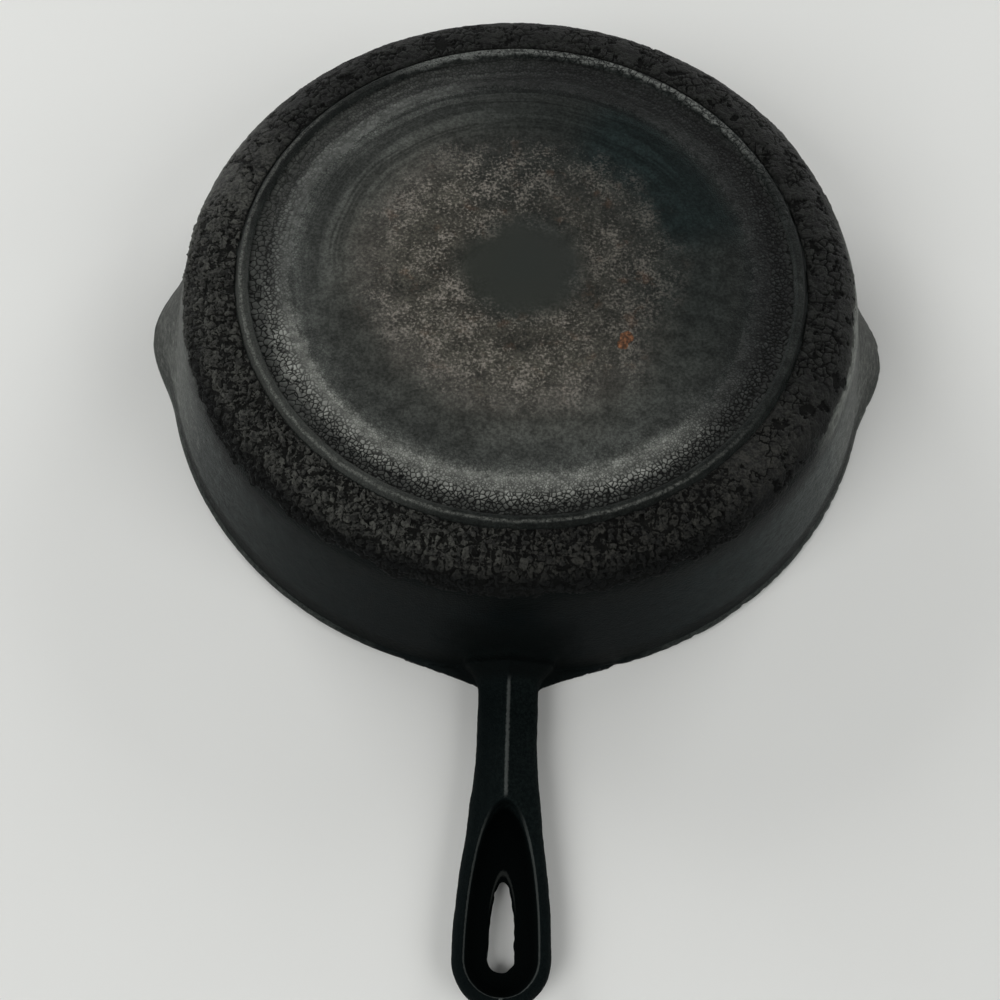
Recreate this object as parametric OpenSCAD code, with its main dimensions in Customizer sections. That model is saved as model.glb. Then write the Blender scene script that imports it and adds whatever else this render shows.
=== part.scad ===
// A cast iron skillet, lying upside down on its rim: one casting with a heat ring round its base,
// a rim band, two pour spouts and a ridged handle with a teardrop recess and a hanging slot.
// The origin is the centre of the rim, on the plane that the rim rests on. +Z runs through the base,
// and the handle points along -Y.

/* [Bowl] */
// Diameter across the rim band
rim_d = 270; // [225:1:325]
// Height from the rim to the base, without the heat ring
bowl_h = 56; // [46:1:68]
// Lean of the side wall from upright, in degrees
wall_lean = 15.4; // [8:0.2:20]
// Thickness of the side wall
wall_t = 3.2; // [2.6:0.1:5]
// Thickness of the floor
floor_t = 3.8; // [3:0.1:6]
// Radius of the outside corner between the wall and the base
shoulder_r = 16; // [12:0.5:20]
// Radius of the inside corner between the wall and the floor
corner_r = 12.5; // [9:0.5:16]

/* [Rim band] */
// Height of the band round the rim
band_h = 4.6; // [3:0.2:7]
// Radius of the band's two outer edges
band_r = 1.2; // [0.6:0.1:1.5]

/* [Heat ring] */
// Distance from the edge of the flat base to the ring
ring_inset = 6.1; // [3:0.1:12]
// Width of the ring where it meets the base
ring_w = 4.4; // [3:0.2:7]
// Width of the worn flat on its crest
crest_w = 1.6; // [1:0.2:2.4]
// Height of the ring above the base
ring_h = 1.6; // [1:0.1:2.4]

/* [Pour spouts] */
// Reach of a spout's tip past the rim
spout_reach = 8; // [5:0.5:11]
// Half of the angle that a spout takes up on the rim, in degrees
spout_half = 16; // [12:0.5:20]
// Height from the rim to the fold where a spout meets the wall
spout_rise = 25; // [18:0.5:30]
// Half of the angle that the fold takes up on the wall, in degrees
fold_half = 11; // [7:0.5:14]

/* [Handle] */
// Length of the handle past the rim band
handle_len = 110; // [90:1:132]
// Width of the neck
neck_w = 20.7; // [17:0.1:25]
// Distance from the rim band to the neck
neck_from_rim = 22; // [18:0.5:27]
// Diameter of the round end
end_d = 32.1; // [29:0.1:39]
// Spread of each side where the handle runs into the rim
root_spread = 8; // [4:0.5:12]
// Rise of the handle where it runs up the wall
root_rise = 3; // [1:0.5:4]
// Gap between the handle and the plane that the rim rests on
handle_gap = 1.5; // [1:0.1:4]
// Thickness at the sides
edge_t = 7.5; // [6:0.1:10]
// Thickness at the ridge
ridge_t = 12; // [11:0.1:16]
// Height of the last of the ridge above the sides, at the tip
tip_crown = 1; // [0.5:0.1:2]
// Radius of the edges that lie in the palm
palm_r = 3; // [1.5:0.1:4]
// Radius of the edges beside the ridge's two slopes
edge_r = 1.5; // [0.5:0.1:2]

/* [Recess and hanging slot] */
// Length of the teardrop recess
recess_len = 61; // [48:0.5:72]
// Width of the recess
recess_w = 24; // [20:0.2:25]
// Radius of the recess's hollow floor, across the handle
dish_r = 30; // [20:1:60]
// Thickness of the web that is left under the recess
web_t = 3.4; // [2.4:0.1:4]
// Length of the hanging slot
slot_len = 28; // [22:0.5:34]
// Width of the hanging slot
slot_w = 8.4; // [6:0.1:10]

/* [Hidden] */

rim_r = rim_d / 2;
end_r = end_d / 2;
iron = "#26292b";
arc_fn = 128;

// Degrees between the points of a rounded outline, and between those along a spout
arc_step = 7.5;
spout_step = 2;
// Overlap of shapes that are joined, and overshoot of shapes that are cut away
lap = 1;
// How deep the fold of a spout starts inside the wall that it grows from
fold_sunk = 0.5;
// How far the handle's root reaches in from the rim, to end inside the wall
root_sunk = 9;

// Edge of the flat base, and the middle of the ring that stands on it
base_r = wall_at(bowl_h - shoulder_r, shoulder_r);
ring_r = base_r - ring_inset - ring_w / 2;

// Places along the handle, measured from the middle of the pan
neck_at = rim_r + neck_from_rim;
eye_at = rim_r + handle_len - end_r;
tip_at = rim_r + handle_len;
root_at = rim_r - root_sunk;
slot_from_tip = (end_d - slot_w) / 2;
recess_from_tip = (end_d - recess_w) / 2;
recess_at = tip_at - recess_from_tip - recess_len;
palm_z = handle_gap;
edge_z = handle_gap + edge_t;
ridge_z = handle_gap + ridge_t;
web_z = handle_gap + web_t;
// The last section stands this far short of the tip, where the outline would shrink to a point
tip_flat = 0.3;
// Distance between sections at the root and along the shaft
root_step = 2.5;
shaft_step = 6;

// Points of an arc in the plane of a section
function arc_points(centre, r, from, to, steps) =
    [for (i = [0:steps]) let (a = from + (to - from) * i / steps) centre + r * [cos(a), sin(a)]];

// Radius of the wall's outside at a height, and of a surface that lies inset from it
function wall_at(z, inset = 0) = rim_r - z * tan(wall_lean) - inset / cos(wall_lean);

// Corner that touches the wall, inset from its outside, and a flat at height top
function corner_points(inset, r, top) =
    arc_points([wall_at(top - r, inset + r), top - r], r, wall_lean, 90, ceil((90 - wall_lean) / arc_step));

// Smooth step from 0 to 1
function ease(t) = let (u = max(0, min(1, t))) u * u * (3 - 2 * u);

// How far a rounded edge has drawn in at a distance from the end
function drawn_in(d, r) = d >= r ? 0 : r - sqrt(max(0, r * r - (r - d) * (r - d)));

// How far a spout stands out at an angle from its middle; its two ends are sunk in what it grows from
function spout_rim(a) = (spout_reach + lap) * pow(cos(90 * a / spout_half), 2) - lap;

module bowl_outside() {
    rotate_extrude($fn = arc_fn)
        polygon(concat([[0, bowl_h], [0, 0], [wall_at(0), 0]], corner_points(0, shoulder_r, bowl_h)));
}

module rim_band() {
    top = band_h - band_r;
    in = wall_at(band_h, lap);
    rotate_extrude($fn = arc_fn)
        polygon(concat(
            [[in, band_h], [in, 0]],
            arc_points([rim_r - band_r, band_r], band_r, -90, 0, 4),
            arc_points([rim_r - band_r, top], band_r, 0, 90, 4)));
}

module bowl_inside() {
    floor_z = bowl_h - floor_t;
    rotate_extrude($fn = arc_fn)
        polygon(concat(
            [[0, floor_z], [0, -lap], [wall_at(-lap, wall_t), -lap]],
            corner_points(wall_t, corner_r, floor_z)));
}

module heat_ring() {
    z = bowl_h + ring_h;
    rotate_extrude($fn = arc_fn)
        translate([ring_r, 0])
            polygon([
                [-ring_w / 2, bowl_h - lap], [ring_w / 2, bowl_h - lap], [ring_w / 2, bowl_h],
                [crest_w / 2, z], [-crest_w / 2, z], [-ring_w / 2, bowl_h]]);
}

// A slab with the rim's outline over the spout, inset from the outside of the rim band
module spout_slab(inset, low, high, back) {
    outer = [for (a = [-spout_half:spout_step:spout_half]) (rim_r - inset + spout_rim(a)) * [cos(a), sin(a)]];
    inner = [for (a = [spout_half:-spout_step:-spout_half]) back * [cos(a), sin(a)]];
    translate([0, 0, low])
        linear_extrude(high - low)
            polygon(concat(outer, inner));
}

// A thin slab that follows the wall along the fold
module fold_slab(inset) {
    r = wall_at(spout_rise, inset);
    back = r - lap;
    outer = [for (a = [-fold_half:spout_step:fold_half]) r * [cos(a), sin(a)]];
    inner = [for (a = [fold_half:-spout_step:-fold_half]) back * [cos(a), sin(a)]];
    translate([0, 0, spout_rise - lap])
        linear_extrude(lap)
            polygon(concat(outer, inner));
}

// The flared body of a spout, from the rim to the fold, inset from the outside of the wall
module spout_flare(inset, low) {
    hull() {
        spout_slab(rim_r - wall_at(band_h, inset), low, band_h, wall_at(band_h, inset + 2 * lap));
        fold_slab(inset + fold_sunk);
    }
}

module spout_outside() {
    spout_slab(0, 0, band_h, wall_at(band_h, lap));
    spout_flare(0, 0);
}

module both_sides() {
    for (turn = [0, 180])
        rotate([0, 0, turn])
            children();
}

// Half of the handle's width at a distance from the middle of the pan
function half_w(s) =
    s > eye_at ? sqrt(max(0, end_r * end_r - (s - eye_at) * (s - eye_at)))
    : s > neck_at ? neck_w / 2 + (end_r - neck_w / 2) * ease((s - neck_at) / (eye_at - neck_at))
    : neck_w / 2 + root_spread * root_blend(s);
function root_blend(s) = pow(max(0, (neck_at - s) / neck_from_rim), 3);

// Height of the ridge, which climbs the wall at the root and falls away past the recess's tip
function ridge_at(s) =
    ridge_z + root_rise * root_blend(s) - (ridge_t - edge_t - tip_crown) * ease((s - recess_at) / recess_len);

// One section of the handle: the right half, from the palm side to the ridge
function half_section(s) =
    let (
        w = half_w(s),
        palm = min(palm_r, w / 2),
        edge = min(edge_r, w / 2),
        low = palm_z + drawn_in(tip_at - s, palm_r),
        high = edge_z + root_rise * root_blend(s) - drawn_in(tip_at - s, edge_r))
    concat(
        arc_points([w - palm, low + palm], palm, -90, 0, 3),
        arc_points([w - edge, high - edge], edge, 0, 60, 2),
        [[0, ridge_at(s) - drawn_in(tip_at - s, edge_r)]]);

// The same section as a closed ring of points in space
function section_ring(s) =
    let (half = half_section(s), last = len(half) - 1)
    concat(
        [for (p = half) [p[0], -s, p[1]]],
        [for (i = [last - 1:-1:0]) [-half[i][0], -s, half[i][1]]]);

// Places from one end up to, and without, the other, about a step apart
function even_steps(from, to, step) =
    let (n = ceil((to - from) / step)) [for (i = [0:n - 1]) from + (to - from) * i / n];

module handle_body() {
    round_end = [for (a = [10:10:80]) eye_at + end_r * sin(a)];
    stations = concat(
        even_steps(root_at, neck_at, root_step), even_steps(neck_at, eye_at, shaft_step),
        [eye_at], round_end, [tip_at - tip_flat]);
    rings = [for (s = stations) section_ring(s)];
    n = len(rings[0]);
    m = len(rings);
    sides = [for (j = [0:m - 2], i = [0:n - 1]) let (k = (i + 1) % n)
        [j * n + k, j * n + i, (j + 1) * n + i, (j + 1) * n + k]];
    caps = [[for (i = [0:n - 1]) i], [for (i = [n - 1:-1:0]) (m - 1) * n + i]];
    polyhedron([for (ring = rings, p = ring) p], concat(sides, caps));
}

// A teardrop that points to the bowl: a half ellipse that ends in a half circle
module teardrop(len, w, from_tip) {
    r = w / 2;
    long = len - r;
    translate([0, -tip_at + from_tip + r])
        polygon(concat(
            [for (a = [0:arc_step:180]) [r * cos(a), long * sin(a)]],
            [for (a = [180 + arc_step:arc_step:360 - arc_step]) r * [cos(a), sin(a)]]));
}

module recess() {
    high = ridge_z + lap;
    intersection() {
        translate([0, 0, web_z])
            linear_extrude(high - web_z)
                teardrop(recess_len, recess_w, recess_from_tip);
        translate([0, -root_at, web_z + dish_r])
            rotate([90, 0, 0])
                cylinder(r = dish_r, h = tip_at, $fn = arc_fn);
    }
}

module hanging_slot() {
    translate([0, 0, palm_z - lap])
        linear_extrude(ridge_t + 2 * lap)
            teardrop(slot_len, slot_w, slot_from_tip);
}

module skillet() {
    color(iron)
        difference() {
            union() {
                bowl_outside();
                rim_band();
                heat_ring();
                both_sides() spout_outside();
                handle_body();
            }
            bowl_inside();
            both_sides() spout_flare(wall_t, -lap);
            recess();
            hanging_slot();
        }
}

skillet();
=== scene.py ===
"""The looks of a burnt cast iron skillet that lies upside down: one casting, the carbon that is
burnt on round its base, and a scab of rust. Lengths are in millimetres until a mesh is made, and the
table top and the lamps are placed in metres."""
import math

import bmesh
import bpy
import numpy as np
from mathutils import Matrix, Vector


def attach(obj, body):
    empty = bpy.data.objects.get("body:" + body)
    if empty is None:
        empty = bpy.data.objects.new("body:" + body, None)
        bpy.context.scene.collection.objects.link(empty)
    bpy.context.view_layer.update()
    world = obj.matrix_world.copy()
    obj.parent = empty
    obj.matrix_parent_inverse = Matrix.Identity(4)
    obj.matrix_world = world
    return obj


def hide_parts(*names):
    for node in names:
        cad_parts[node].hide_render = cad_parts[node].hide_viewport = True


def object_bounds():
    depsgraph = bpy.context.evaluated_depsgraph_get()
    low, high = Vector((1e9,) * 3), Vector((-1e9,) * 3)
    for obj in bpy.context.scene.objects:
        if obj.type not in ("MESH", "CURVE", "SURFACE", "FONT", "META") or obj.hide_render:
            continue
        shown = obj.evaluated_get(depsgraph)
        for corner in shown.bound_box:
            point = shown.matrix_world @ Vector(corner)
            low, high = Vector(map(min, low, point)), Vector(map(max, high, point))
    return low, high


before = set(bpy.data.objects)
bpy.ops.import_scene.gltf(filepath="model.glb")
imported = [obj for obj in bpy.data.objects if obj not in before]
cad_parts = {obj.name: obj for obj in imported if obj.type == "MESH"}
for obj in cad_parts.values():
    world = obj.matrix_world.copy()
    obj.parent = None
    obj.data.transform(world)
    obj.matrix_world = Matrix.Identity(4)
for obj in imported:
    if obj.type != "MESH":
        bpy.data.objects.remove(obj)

MM = 0.001
cad_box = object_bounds()
low_corner = [v / MM for v in cad_box[0]]
high_corner = [v / MM for v in cad_box[1]]

# Sizes that the frame gives
RIM_R = high_corner[1]
SPOUT_TIP = high_corner[0]
HANDLE_TIP = -low_corner[1]
TOP = high_corner[2]

# Bowl
RING_H = 1.6
RING_W = 4.4
BASE_Z = TOP - RING_H
LEAN = math.radians(15.4)
SHOULDER_R = 16.0
CORNER_R = 12.5
WALL_T = 3.2
FLOOR_T = 3.8
BAND_H = 4.6
BEAD_R = 2.1
CREASE_Z = 5.2
RING_INSET = 6.1

# Pour spouts: half of the angle that one takes, how far it reaches out, and how high its fold rises
SPOUT_HALF = math.radians(16)
SPOUT_REACH = SPOUT_TIP - RIM_R
FOLD_H = 25.0


def wall_r(z, inset=0.0):
    """Radius of the wall's outside at a height, or of a surface that lies inset from it."""
    return RIM_R - z * math.tan(LEAN) - inset / math.cos(LEAN)


BASE_R = wall_r(BASE_Z - SHOULDER_R, SHOULDER_R)
RING_R = BASE_R - RING_INSET - RING_W / 2
SHOULDER_LEN = SHOULDER_R * (math.pi / 2 - LEAN)

# Handle, measured along it from the middle of the pan
NECK_W = 20.7
NECK_AT = RIM_R + 22.0
END_R = 16.05
EYE_AT = HANDLE_TIP - END_R
PALM_Z = 1.5
EDGE_Z = PALM_Z + 7.5
RIDGE_Z = PALM_Z + 12.0
RECESS_FLOOR = 4.9
RECESS_R = 12.0
RECESS_LEN = 61.0
SLOT_R = 4.2
SLOT_LEN = 28.0

# How much wider and higher the handle's root is, how far the middle of its tip stands above the edges,
# and the fillet where it meets the wall
ROOT_SPREAD = 8.0
ROOT_RISE = 3.0
TIP_CROWN = 1.0
ROOT_FILLET = 2.4

# The low flange at the root: how far it reaches along the rim and out from it, and its height
FLANGE_W = 22.0
FLANGE_OUT = 7.0
FLANGE_H = 2.5

# How high the spine and the lip round the recess stand, and how far the handle's edges are rounded
SPINE_H = 0.3
LIP_H = 0.22
TOP_ROUND = 2.6
PALM_ROUND = 4.0
SLOT_ROUND = 1.6
RECESS_ROUND = 0.9
RECESS_CORNER = 2.5

# Burnt carbon: where it starts and ends along the iron, from the edge of the flat base, and how far
# its underside is sunk into the iron. The crust stands no higher than CRUST_MOST, and each of its
# halves runs past its half turn at both ends by CRUST_OVERLAP, in degrees. The crazed carbon stays
# CRAZE_CLEAR below the top of the ring
CRUST_REACH = (-5.5, 24.0)
CRUST_DEPTH = 1.2
CRUST_MOST = 1.5
CRUST_OVERLAP = 0.6
CRAZE_REACH = (78.0 - BASE_R, 97.3 - BASE_R)
CRAZE_DEPTH = 1.0
CRAZE_CLEAR = 0.02

# Widths of the crust's flakes, and of the cells that the carbon beside and on the ring is crazed into
FLAKE = 2.6
SMALL_FLAKE = 1.15
WIDE_CELL = 2.3
CLOSE_CELL = 1.5
FINE_CELL = 0.95
RING_CELL = 2.6


def linear(*srgb):
    """A colour written 0 to 255 as it looks, in the linear numbers that a material takes."""
    return [((v / 255 + 0.055) / 1.055) ** 2.4 if v > 10 else v / 255 / 12.92 for v in srgb]


# ---------------------------------------------------------------- node graphs

VECTORS = ("VECTOR", "RGBA")


class Value:
    """A socket that works in sums: each operator adds the maths node that does it."""

    def __init__(self, graph, socket):
        self.graph = graph
        self.socket = socket

    def maths(self, operation, *terms):
        wide = any(isinstance(t, Value) and t.socket.type in VECTORS for t in terms)
        kind = "ShaderNodeVectorMath" if wide else "ShaderNodeMath"
        return self.graph.add(kind, {"operation": operation}, dict(enumerate(terms)))

    def __add__(self, other):
        return self.maths("ADD", self, other)

    def __radd__(self, other):
        return self.maths("ADD", other, self)

    def __sub__(self, other):
        return self.maths("SUBTRACT", self, other)

    def __rsub__(self, other):
        return self.maths("SUBTRACT", other, self)

    def __mul__(self, other):
        return self.maths("MULTIPLY", self, other)

    def __rmul__(self, other):
        return self.maths("MULTIPLY", other, self)

    def __truediv__(self, other):
        return self.maths("DIVIDE", self, other)

    def __rtruediv__(self, other):
        return self.maths("DIVIDE", other, self)

    def __pow__(self, other):
        return self.maths("POWER", self, other)

    def least(self, other):
        return self.maths("MINIMUM", self, other)

    def most(self, other):
        return self.maths("MAXIMUM", self, other)

    def do(self, operation):
        return self.maths(operation, self)


class Graph:
    """A node tree that is written as expressions."""

    def __init__(self, tree):
        self.tree = tree

    def add(self, kind, settings=None, sockets=None, out=0):
        """Adds a node: its settings first, then the value or link of each socket that is named."""
        node = self.tree.nodes.new(kind)
        for name, value in (settings or {}).items():
            if name == "stops":
                self.set_stops(node.color_ramp, value)
            else:
                setattr(node, name, value)
        for name, value in (sockets or {}).items():
            socket = node.inputs[name]
            if isinstance(value, Value):
                self.tree.links.new(value.socket, socket)
            elif socket.type == "VECTOR" and isinstance(value, (int, float)):
                socket.default_value = (value, value, value)
            elif socket.type == "RGBA":
                socket.default_value = (*value, 1)
            else:
                socket.default_value = value
        return Value(self, node.outputs[out]) if node.outputs else None

    @staticmethod
    def set_stops(ramp, stops):
        while len(ramp.elements) < len(stops):
            ramp.elements.new(1)
        for element, (place, colour) in zip(ramp.elements, stops):
            element.position = place
            element.color = (*colour, 1)

    def parts(self, vector):
        node = self.add("ShaderNodeSeparateXYZ", None, {0: vector}).socket.node
        return [Value(self, output) for output in node.outputs]

    def joined(self, x, y, z):
        return self.add("ShaderNodeCombineXYZ", None, {0: x, 1: y, 2: z})

    def fade(self, value, start, end, low=0.0, high=1.0):
        """A smooth step from low to high as the value goes from start to end."""
        return self.add("ShaderNodeMapRange", {"interpolation_type": "SMOOTHSTEP"},
                        {"Value": value, 1: start, 2: end, 3: low, 4: high})

    def band(self, value, middle, half, soft):
        """1 within half of the middle, and 0 from soft past that."""
        return self.fade((value - middle).do("ABSOLUTE"), half + soft, half)

    def mixed(self, a, b, factor):
        """Colour a where the factor is 0, and colour b where it is 1."""
        return self.add("ShaderNodeMix", {"data_type": "RGBA"}, {0: factor, 6: a, 7: b}, out=2)

    def ramp(self, value, start, end, stops):
        """A colour for each value from start to end, through stops placed on the same scale."""
        placed = [((place - start) / (end - start), colour) for place, colour in stops]
        share = (value - start) / (end - start)
        return self.add("ShaderNodeValToRGB", {"stops": placed}, {0: share})

    def noise(self, point, size, detail=3.0, rough=0.5, shift=0.0):
        """Soft noise, about 0 to 1, whose patches are about size across."""
        return self.add("ShaderNodeTexNoise", None, {
            "Vector": point + shift, "Scale": 1 / size, "Detail": detail, "Roughness": rough})

    def stirred(self, point, size, reach, detail, shift=0.0):
        """The point moved about by noise, so that a pattern on it loses its straight lines."""
        push = self.add("ShaderNodeTexNoise", None, {
            "Vector": point + shift, "Scale": 1 / size, "Detail": detail}, out=1)
        return point + (push - 0.5) * (2 * reach)

    def cracks(self, point, size):
        """Distance to the nearest edge between cells that are about size across."""
        cells = self.add(
            "ShaderNodeTexVoronoi", {"feature": "DISTANCE_TO_EDGE"}, {"Vector": point, "Scale": 1 / size})
        return cells * size

    def cell_value(self, point, size):
        """A random value, 0 to 1, for the cell that the point is in."""
        cell = self.add(
            "ShaderNodeTexVoronoi", {"feature": "F1"}, {"Vector": point, "Scale": 1 / size}, out=1)
        return self.parts(cell)[0]


def shards(g, point, size):
    """Flat flakes about size across, each tipped its own way: their height, and a value for each."""
    cell = g.add("ShaderNodeTexVoronoi", {"feature": "F1"}, {"Vector": point, "Scale": 1 / size}, out=1)
    middle = Value(g, cell.socket.node.outputs["Position"])
    x, y, z = g.parts((point - middle) * (cell - 0.5))
    return x + y + z, g.parts(cell)[0]


def off_axis(x, y):
    """How far a point lies from the pan's own axis."""
    return (x * x + y * y).do("SQRT")


def facing(g, x, y, radius, degrees):
    """Cosine of the angle between a point's bearing and one that is given; the handle is at 0."""
    turn = math.radians(degrees)
    return (x * math.sin(turn) - y * math.cos(turn)) / radius


def side(g, x, y, radius, degrees, half, soft):
    """1 within half of a bearing, fading to 0 at soft past it, all in degrees."""
    near = facing(g, x, y, radius, degrees)
    return g.fade(near, math.cos(math.radians(min(half + soft, 180))), math.cos(math.radians(half)))


# ---------------------------------------------------------------- growing meshes

def new_tree(name, **inputs):
    """An empty geometry tree with named inputs, and the values that they give."""
    tree = bpy.data.node_groups.new(name, "GeometryNodeTree")
    tree.interface.new_socket("Geometry", in_out="INPUT", socket_type="NodeSocketGeometry")
    for label, kind in inputs.items():
        tree.interface.new_socket(label.replace("_", " "), in_out="INPUT", socket_type=kind)
    tree.interface.new_socket("Geometry", in_out="OUTPUT", socket_type="NodeSocketGeometry")
    g = Graph(tree)
    given = g.add("NodeGroupInput").socket.node.outputs
    return g, {s.name: Value(g, s) for s in given if s.name}


def close_tree(g, geometry, material):
    """Ends a tree as every tree here ends."""
    whole = g.add("GeometryNodeRealizeInstances", None, {0: geometry})
    smooth = g.add("GeometryNodeSetShadeSmooth", None, {0: whole})
    done = g.add("GeometryNodeSetMaterial", None, {"Geometry": smooth, "Material": material})
    g.add("NodeGroupOutput", None, {0: done})


def grown(name, source, g, **values):
    """An object whose plain mesh is what a tree grows from a source mesh."""
    piece = bpy.data.objects.new(name, source)
    bpy.context.scene.collection.objects.link(piece)
    modifier = piece.modifiers.new("grow", "NODES")
    modifier.node_group = g.tree
    for item in g.tree.interface.items_tree:
        key = item.name.replace(" ", "_")
        if item.in_out == "INPUT" and key in values:
            modifier[item.identifier] = values[key]
    graph = bpy.context.evaluated_depsgraph_get()
    mesh = bpy.data.meshes.new_from_object(
        piece.evaluated_get(graph), preserve_all_data_layers=True, depsgraph=graph)
    piece.modifiers.remove(modifier)
    piece.data = mesh
    mesh.name = name
    return piece


def line_mesh(name, points):
    """A mesh line through points (r, z), which a tree turns into a surface."""
    mesh = bpy.data.meshes.new(name)
    edges = [(i, i + 1) for i in range(len(points) - 1)]
    mesh.from_pydata([(r * MM, 0, z * MM) for r, z in points], edges, [])
    return mesh


def settle_normals(piece):
    """Turns every face of a closed mesh outwards, once holes at its ends are closed."""
    shape = bmesh.new()
    shape.from_mesh(piece.data)
    bmesh.ops.holes_fill(shape, edges=[e for e in shape.edges if e.is_boundary], sides=0)
    bmesh.ops.recalc_face_normals(shape, faces=shape.faces[:])
    if shape.calc_volume(signed=True) < 0:
        bmesh.ops.reverse_faces(shape, faces=shape.faces[:])
    shape.to_mesh(piece.data)
    shape.free()


# ---------------------------------------------------------------- the bowl

def along(start, end, steps):
    """Points from start up to, and without, end."""
    return [tuple(s + (e - s) * i / steps for s, e in zip(start, end)) for i in range(steps)]


def arc(centre, radius, start, end, steps, tall=1.0):
    """Points of an arc from start to end degrees."""
    turns = [math.radians(start + (end - start) * i / steps) for i in range(steps + 1)]
    return [(centre[0] + radius * math.cos(t), centre[1] + tall * radius * math.sin(t)) for t in turns]


def ring_line():
    """The heat ring's section: a low crest with a worn flat."""
    reach = RING_W / 2 + 0.3
    flank = 0.6
    steps = 9
    points = []
    for i in range(2 * steps + 1):
        t = -1 + i / steps
        u = min(1, (1 - abs(t)) / flank)
        points.append((RING_R + t * reach, BASE_Z + RING_H * u * u * (3 - 2 * u)))
    return points


def bowl_line():
    """The bowl's section, from the middle of its base, round the rim, to the middle of its floor."""
    lean = math.degrees(LEAN)
    floor_z = BASE_Z - FLOOR_T
    bead_middle = (RIM_R - BEAD_R, BAND_H / 2)
    shoulder = arc((BASE_R, BASE_Z - SHOULDER_R), SHOULDER_R, 90, lean, 12)
    crease = (wall_r(CREASE_Z), CREASE_Z)
    inner_low = (wall_r(1.0, WALL_T), 1.0)
    corner_z = floor_z - CORNER_R
    corner = arc((wall_r(corner_z, WALL_T + CORNER_R), corner_z), CORNER_R, lean, 90, 8)
    return (
        along((0, BASE_Z), (RING_R - RING_W / 2 - 0.9, BASE_Z), 20)
        + ring_line()
        + along((RING_R + RING_W / 2 + 0.8, BASE_Z), shoulder[0], 3)
        + shoulder
        + along(shoulder[-1], crease, 20)[1:]
        + [crease]
        + arc(bead_middle, BEAD_R, 62, -90, 12, BAND_H / 2 / BEAD_R)
        + along((RIM_R - BEAD_R - 0.3, 0), (inner_low[0] + 0.5, 0), 2)
        + [(inner_low[0] + 0.15, 0.3)]
        + along(inner_low, corner[0], 14)
        + corner
        + along(corner[-1], (0, floor_z), 9)[1:]
        + [(0, floor_z)])


def bowl_tree():
    """Turns a section line into a closed bowl, and draws its rim out into two pour spouts."""
    g, value = new_tree(
        "bowl", Segments="NodeSocketInt", Rows="NodeSocketInt", Spout_Reach="NodeSocketFloat",
        Spout_Half="NodeSocketFloat", Fold_Height="NodeSocketFloat", Band_Height="NodeSocketFloat",
        Material="NodeSocketMaterial")
    sheet = g.add("GeometryNodeMeshGrid", None, {
        "Size X": 1.0, "Size Y": 1.0, "Vertices X": value["Segments"] + 1, "Vertices Y": value["Rows"]})
    across, down, _ = g.parts(g.add("GeometryNodeInputPosition"))
    row = ((down + 0.5) * (value["Rows"] - 1)).do("ROUND")
    place = g.add("GeometryNodeSampleIndex", {"data_type": "FLOAT_VECTOR"}, {
        "Geometry": value["Geometry"], "Value": g.add("GeometryNodeInputPosition"), "Index": row})
    radius, _, height = g.parts(place)
    turn = (across + 0.5) * (2 * math.pi)
    east = turn.do("SINE")
    north = turn.do("COSINE")
    # The angle from the middle of the nearer spout, as a share of half a spout
    off = east.do("ABSOLUTE").least(1.0).do("ARCCOSINE") / value["Spout Half"]
    bulge = (off.least(1.0) * (math.pi / 2)).do("COSINE") ** 2
    band = value["Band Height"]
    fold = band + (value["Fold Height"] - band) * (1 - (off * off).least(1.0)).do("SQRT")
    share = ((fold - height) / (fold - band + 1e-5)).most(0.0).least(1.0)
    reach = radius + value["Spout Reach"] * bulge * share
    turned = g.add("GeometryNodeSetPosition", None, {
        "Geometry": sheet, "Position": g.joined(reach * east, reach * north, height)})
    closed = g.add("GeometryNodeMergeByDistance", None, {0: turned, "Distance": 0.01 * MM})
    close_tree(g, closed, value["Material"])
    return g


def make_bowl(segments, finish):
    line = bowl_line()
    return grown(
        "bowl", line_mesh("bowl_line", line), bowl_tree(), Segments=segments, Rows=len(line),
        Spout_Reach=SPOUT_REACH * MM, Spout_Half=SPOUT_HALF, Fold_Height=FOLD_H * MM,
        Band_Height=BAND_H * MM, Material=finish)


# ---------------------------------------------------------------- the handle

def blend_low(a, b, k):
    """The lower of two distances, with the corner between them filled."""
    h = np.maximum(k - np.abs(a - b), 0) / k
    return np.minimum(a, b) - h * h * k / 4


def blend_high(a, b, k):
    """The higher of two distances, with the edge between them rounded."""
    return -blend_low(-a, -b, k)


def ease(t):
    t = np.clip(t, 0, 1)
    return t * t * (3 - 2 * t)


def ripple(x, y, z, size, seed):
    """Smooth unevenness from -1 to 1, the same on every run."""
    rng = np.random.default_rng(seed)
    total = 0
    for _ in range(6):
        way = rng.normal(size=3)
        way *= 2 * math.pi / size / np.linalg.norm(way) * rng.uniform(0.6, 1.5)
        total = total + np.sin(x * way[0] + y * way[1] + z * way[2] + rng.uniform(0, 6.3))
    return total / 3


def teardrop(x, s, long, r):
    """Distance from the edge of a teardrop that points to the bowl and is round about the eye."""
    ahead = EYE_AT - s
    length = np.where(ahead > 0, long, r)
    u = np.sqrt((x / r) ** 2 + (ahead / length) ** 2) + 1e-9
    slope = np.sqrt((x / r ** 2) ** 2 + (ahead / length ** 2) ** 2) / u
    return (u - 1) / np.maximum(slope, 1 / long)


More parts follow.
